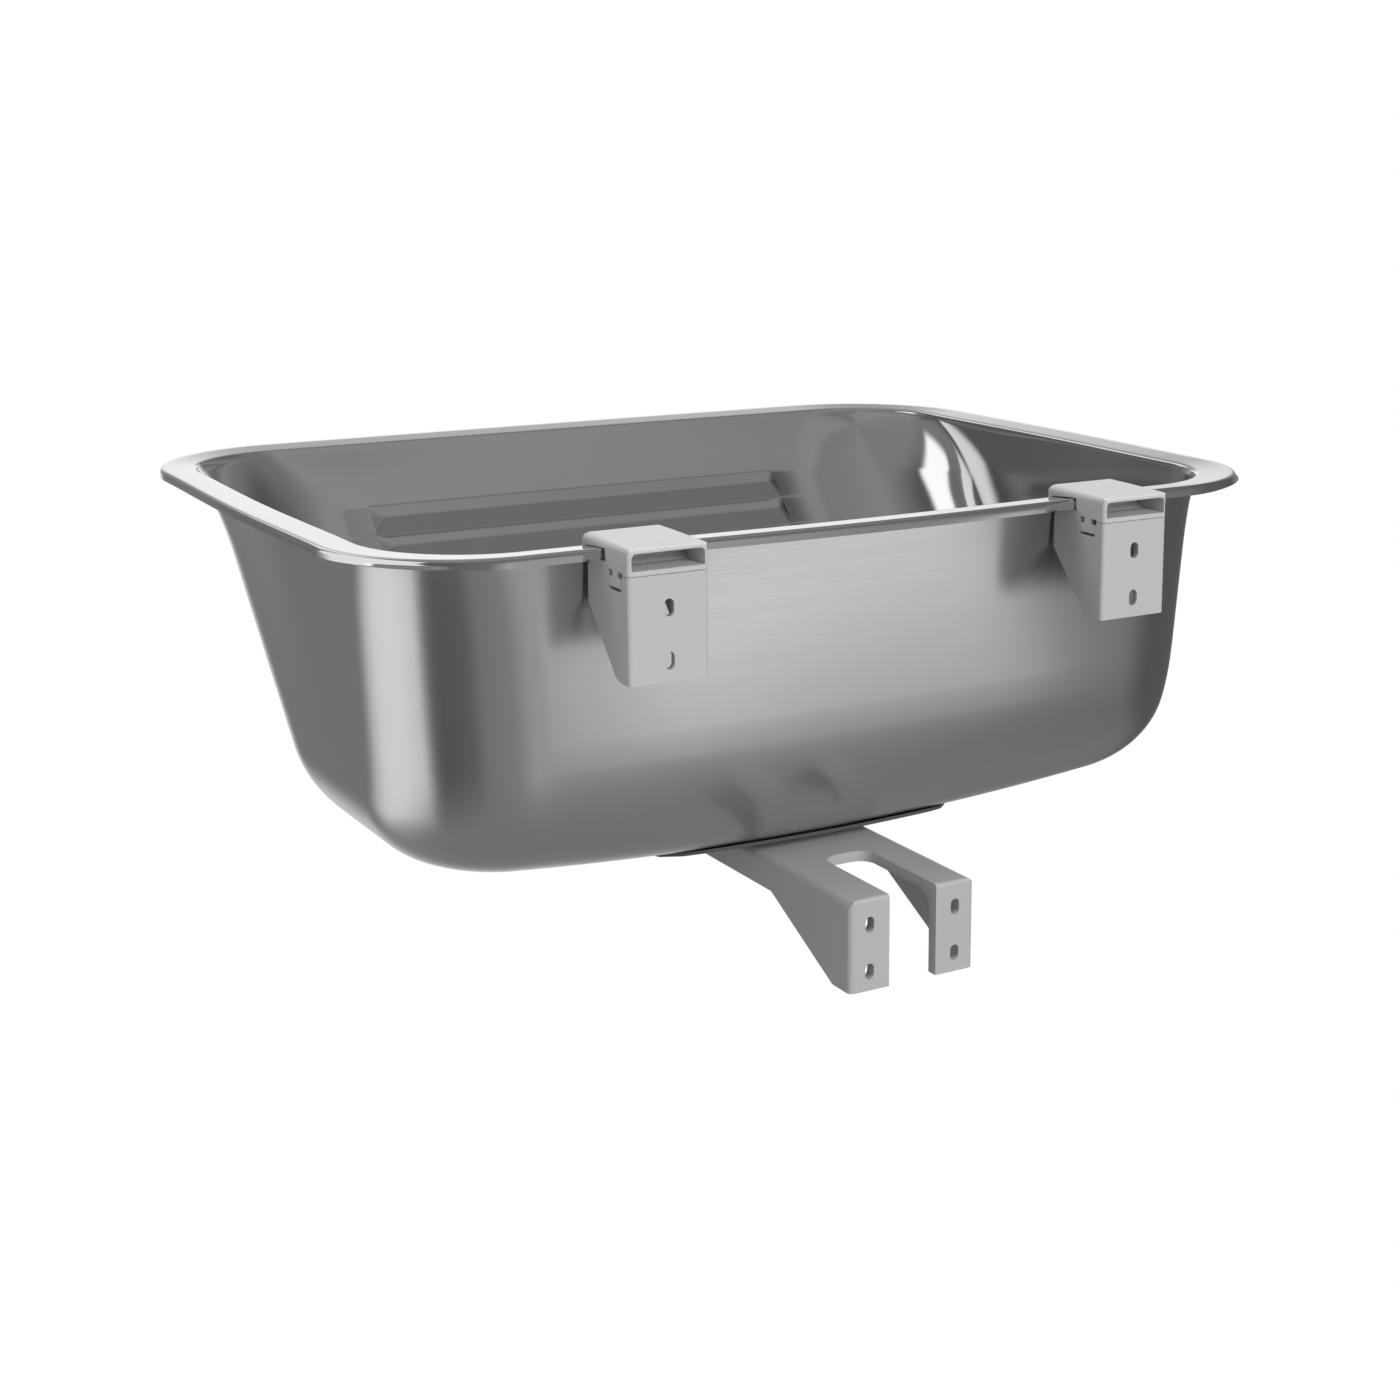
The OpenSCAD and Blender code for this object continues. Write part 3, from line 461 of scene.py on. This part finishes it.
# Materials
def steel(name, base, rough, rough_span, brushed, grain_depth, dent_depth):
    """Steel with its grain in roughness and bump, and with soft dents; depths are in metres"""
    mat, tree, shader = new_material(name)
    lines = grain(tree)
    clouds = noise(tree, scale=14.0, stretch=(1, 1, 2.2))
    dents = bump(tree, clouds, dent_depth)
    feed(tree, shader, {
        "Metallic": 1.0,
        "Base Color": clouded(tree, clouds, base),
        "Roughness": varied(tree, lines, rough, rough_span),
        "Anisotropic": brushed,
        "Anisotropic Rotation": 0.25,
        "Tangent": add(tree, "Tangent", {}, direction_type="RADIAL", axis="Z").outputs["Tangent"],
        "Normal": bump(tree, lines, grain_depth, dents),
    })
    return mat


def plastic(name, base, rough=0.46, skin_scale=2600.0, skin_depth=0.00003):
    """Moulded plastic or rubber with a fine skin"""
    mat, tree, shader = new_material(name)
    skin = noise(tree, skin_scale, detail=2.0)
    feed(tree, shader, {
        "Base Color": clouded(tree, noise(tree, scale=22.0), base),
        "Roughness": varied(tree, skin, rough, 0.05),
        "IOR": 1.46,
        "Normal": bump(tree, skin, skin_depth),
    })
    return mat


steel_outside = steel("steel_outside", 0.62, 0.25, 0.015, 0.75, grain_depth=0.00000008, dent_depth=0.000006)
steel_inside = steel("steel_inside", 0.64, 0.09, 0.01, 0.3, grain_depth=0.00000003, dent_depth=0.000006)
steel_polished = steel("steel_polished", 0.70, 0.16, 0.02, 0.0, grain_depth=0.0000004, dent_depth=0.00001)
bracket_plastic = plastic("bracket_plastic", 0.53)
clip_plastic = plastic("clip_plastic", 0.56)
fork_plastic = plastic("fork_plastic", 0.495)
waste_plastic = plastic("waste_plastic", 0.50, rough=0.4)
pad_rubber = plastic("pad_rubber", 0.09, rough=0.6, skin_scale=900.0, skin_depth=0.0002)
gasket_rubber = plastic("gasket_rubber", 0.02, rough=0.55)
plug_rubber = plastic("plug_rubber", 0.025, rough=0.42)

# Pieces
basin = build_basin()
basin.data.materials.append(steel_inside)
basin.data.materials.append(steel_outside)
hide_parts("basin")
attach(basin, "sink")

FINISH = {
    "sound_pad": pad_rubber,
    "rim_bracket_left": bracket_plastic,
    "rim_bracket_right": bracket_plastic,
    "rim_clip_left": clip_plastic,
    "rim_clip_right": clip_plastic,
    "waste_bracket": fork_plastic,
    "waste_flange": steel_polished,
    "flange_gasket": gasket_rubber,
    "body_gasket": gasket_rubber,
    "waste_body": waste_plastic,
    "waste_screw": steel_polished,
    "plug": plug_rubber,
}
WELD = 0.00001
EDGE_ANGLE = radians(32)
# Widths of the bevelled edges in mm, by the start of a node's name
EDGE = {"rim_bracket": 0.6, "rim_clip": 0.45, "waste_bracket": 0.9, "waste_body": 0.3, "plug": 0.3}
for name, mat in FINISH.items():
    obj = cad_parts[name]
    obj.data.materials.clear()
    obj.data.materials.append(mat)
    width = next((edge_w for start, edge_w in EDGE.items() if name.startswith(start)), 0)
    if width:
        weld = obj.modifiers.new("weld", "WELD")
        weld.merge_threshold = WELD
        edge = obj.modifiers.new("edge", "BEVEL")
        edge.width = width * MM
        edge.segments = 2
        edge.limit_method = "ANGLE"
        edge.angle_limit = EDGE_ANGLE
        edge.use_clamp_overlap = True
        edge.harden_normals = True

# Floor, which the camera sees as white
FLOOR_HALF = 9
FLOOR_Z = -0.85
floor_corners = [(sx * FLOOR_HALF, sy * FLOOR_HALF, 0) for sx, sy in ((-1, -1), (1, -1), (1, 1), (-1, 1))]
floor_mesh = bpy.data.meshes.new("floor")
floor_mesh.from_pydata(floor_corners, [], [(0, 1, 2, 3)])
floor = bpy.data.objects.new("floor", floor_mesh)
bpy.context.scene.collection.objects.link(floor)
floor.location = (0, 0, FLOOR_Z)
floor.visible_glossy = False
floor_mat, tree, shader = new_material("floor")
feed(tree, shader, {"Base Color": grey(0.3), "Roughness": 1.0, "Specular IOR Level": 0.0})
camera_ray = add(tree, "LightPath", {}).outputs["Is Camera Ray"]
mix_surface(tree, camera_ray, shader, add(tree, "Emission", {}))
floor.data.materials.append(floor_mat)

# Studio
# Brightness round the object by compass angle, from the wall side towards the right:
# below eye level, above it, a share that dims the upper part of it, and overhead
LOW = [(-180, 0.7), (-170, 0.85), (-158, 1.2), (-150, 0.9), (-143, 0.55), (-138, 0.3), (-130, 0.17),
       (-120, 0.12), (-110, 0.12), (-70, 0.12), (-56, 0.16), (-44, 0.22), (-34, 0.3), (-20, 0.45),
       (-10, 0.5), (-3, 0.44), (8, 0.31), (30, 0.27), (44, 0.14), (66, 0.09), (76, 0.12), (81, 0.4),
       (86, 0.95), (112, 1.06), (130, 1.0), (141, 0.74), (150, 0.38), (160, 0.18), (170, 0.25), (180, 0.7)]
HIGH = [(-180, 0.35), (-170, 0.9), (-162, 1.08), (-148, 1.06), (-140, 0.92), (-131, 0.35), (-120, 0.24),
        (-104, 0.12), (-60, 0.16), (-40, 0.2), (-20, 0.22), (10, 0.2), (40, 0.14), (84, 0.12), (110, 0.2),
        (128, 0.26), (142, 0.13), (160, 0.2), (172, 0.3), (180, 0.35)]
UPPER_DIM = [(-180, 1), (-172, 0.4), (-136, 0.3), (-126, 1), (180, 1)]
OVERHEAD = [(-180, 0.36), (-135, 0.33), (-115, 0.25), (-90, 0.24), (-50, 0.36), (-38, 0.28), (0, 0.3),
            (40, 0.33), (60, 0.29), (95, 0.29), (120, 0.3), (180, 0.36)]

# Cover of each layer by its angle above eye level
HIGH_COVER = [(-8, 0), (6, 1)]
DIM_COVER = [(9, 0), (18, 1)]
OVERHEAD_COVER = [(40, 0), (62, 1)]
BELOW_COVER = [(-56, 1), (-44, 0.75), (-30, 0)]
BELOW_LEVEL = 0.26
DIFFUSE_LEVEL = 0.34

world = bpy.data.worlds.new("studio")
bpy.context.scene.world = world
world.use_nodes = True
sky = world.node_tree
axes = add(sky, "SeparateXYZ", {"Vector": add(sky, "TexCoord", {}).outputs["Generated"]})
compass = add(sky, "Math", {0: axes.outputs["X"], 1: axes.outputs["Y"]}, operation="ARCTAN2")
place_round = map_range(sky, compass.outputs[0], -pi, pi)
place_up = map_range(sky, axes.outputs["Z"], -1.0, 1.0)


def round_ramp(stops):
    """Brightness by compass angle in degrees"""
    return ramp(sky, [((angle + 180) / 360, level) for angle, level in stops], place_round)


def height_ramp(stops):
    """Brightness by the angle above eye level in degrees"""
    return ramp(sky, [((sin(radians(angle)) + 1) / 2, level) for angle, level in stops], place_up)


def window(light, compass_stops, height_stops, level):
    """A bright patch of the studio, laid over the light so far"""
    cover = blend(sky, height_ramp(height_stops), grey(0), round_ramp(compass_stops))
    return blend(sky, cover, light, grey(level))


light = blend(sky, height_ramp(HIGH_COVER), round_ramp(LOW), round_ramp(HIGH))
light = blend(sky, height_ramp(DIM_COVER), light, round_ramp(UPPER_DIM), "MULTIPLY")
light = blend(sky, height_ramp(OVERHEAD_COVER), light, round_ramp(OVERHEAD))
light = blend(sky, height_ramp(BELOW_COVER), light, grey(BELOW_LEVEL))
# A high window on one side, and a soft one in front of the basin
light = window(light, [(84, 0), (89, 1), (115, 1), (122, 0)], [(21, 0), (24, 1), (40, 1), (45, 0)], 1.5)
light = window(light, [(-180, 1), (-174, 1), (-166, 0), (158, 0), (166, 1), (180, 1)],
               [(17, 0), (24, 1), (45, 1), (55, 0)], 1.15)
# An even level for rough surfaces, and white behind the object
path = add(sky, "LightPath", {})
light = blend(sky, path.outputs["Is Diffuse Ray"], light, grey(DIFFUSE_LEVEL))
light = blend(sky, path.outputs["Is Camera Ray"], light, grey(1))
feed(sky, sky.nodes["Background"], {"Color": light})


def studio_card(name, half_w, half_h, place, turn, glow, wide, tall):
    """Upright card that only glossy surfaces see

    Its glow goes by the place up it, and its cover by the places across it and up it, in mm from its middle.
    """
    mesh = bpy.data.meshes.new(name)
    corners = [(sx * half_w, 0, sz * half_h) for sx, sz in ((-1, -1), (1, -1), (1, 1), (-1, 1))]
    mesh.from_pydata(corners, [], [(0, 1, 2, 3)])
    obj = bpy.data.objects.new(name, mesh)
    bpy.context.scene.collection.objects.link(obj)
    obj.location = place
    obj.rotation_euler = [radians(angle) for angle in turn]
    obj.visible_camera = False
    obj.visible_diffuse = False
    obj.visible_shadow = False
    obj.visible_transmission = False
    mat, tree, shader = new_material(name)
    tree.nodes.remove(shader)
    axes = add(tree, "SeparateXYZ", {"Vector": add(tree, "TexCoord", {}).outputs["Object"]})

    def along(axis, half, stops):
        value = map_range(tree, axes.outputs[axis], -half, half)
        return ramp(tree, [(0.5 + at * MM / half / 2, level) for at, level in stops], value)

    emission = add(tree, "Emission", {"Color": along("Z", half_h, glow)})
    covers = {0: along("X", half_w, wide), 1: along("Z", half_h, tall)}
    cover = add(tree, "Math", covers, operation="MULTIPLY")
    mix_surface(tree, cover.outputs[0], add(tree, "BsdfTransparent", {}), emission)
    obj.data.materials.append(mat)


# A card on the wall side, low behind the basin, and one beside the basin's right end
studio_card("wall_card", 0.3, 0.17, (-0.2, 0.3, -0.23), (0, 6, 0),
            glow=[(-170, 0.3), (-55, 0.36), (-38, 0.5), (-15, 0.78), (30, 0.88), (60, 1.2), (85, 1.5)],
            wide=[(-235, 0), (-160, 1), (130, 1), (185, 0.5), (240, 0.2), (295, 0)],
            tall=[(-160, 0), (-70, 1), (110, 1), (145, 0)])
studio_card("corner_card", 0.27, 0.22, (0.43, -0.14, 0.18), (0, 0, 90),
            glow=[(-220, 1.12), (0, 1.12), (90, 1.5)],
            wide=[(-260, 0), (-200, 1), (190, 1), (245, 0)],
            tall=[(-220, 0), (-180, 1), (95, 1), (145, 0)])


def softbox(name, position, target, size, power):
    """Square lamp that turns to its target and shows in no reflection"""
    data = bpy.data.lights.new(name, "AREA")
    data.shape = "SQUARE"
    data.size = size
    data.energy = power
    obj = bpy.data.objects.new(name, data)
    bpy.context.scene.collection.objects.link(obj)
    obj.location = position
    obj.rotation_euler = (Vector(target) - Vector(position)).to_track_quat("-Z", "Y").to_euler()
    obj.visible_camera = False
    obj.visible_glossy = False


MIDDLE = (0, -0.15, -0.1)
softbox("key", (-0.3, 2.6, 1.15), MIDDLE, size=1.4, power=61)
softbox("top", (0.2, -0.5, 1.7), MIDDLE, size=1.0, power=21.5)
softbox("fill", (0.62, 0.12, -0.05), (0.15, -0.02, -0.05), size=0.2, power=0.35)

bpy.context.scene.view_settings.view_transform = "Standard"
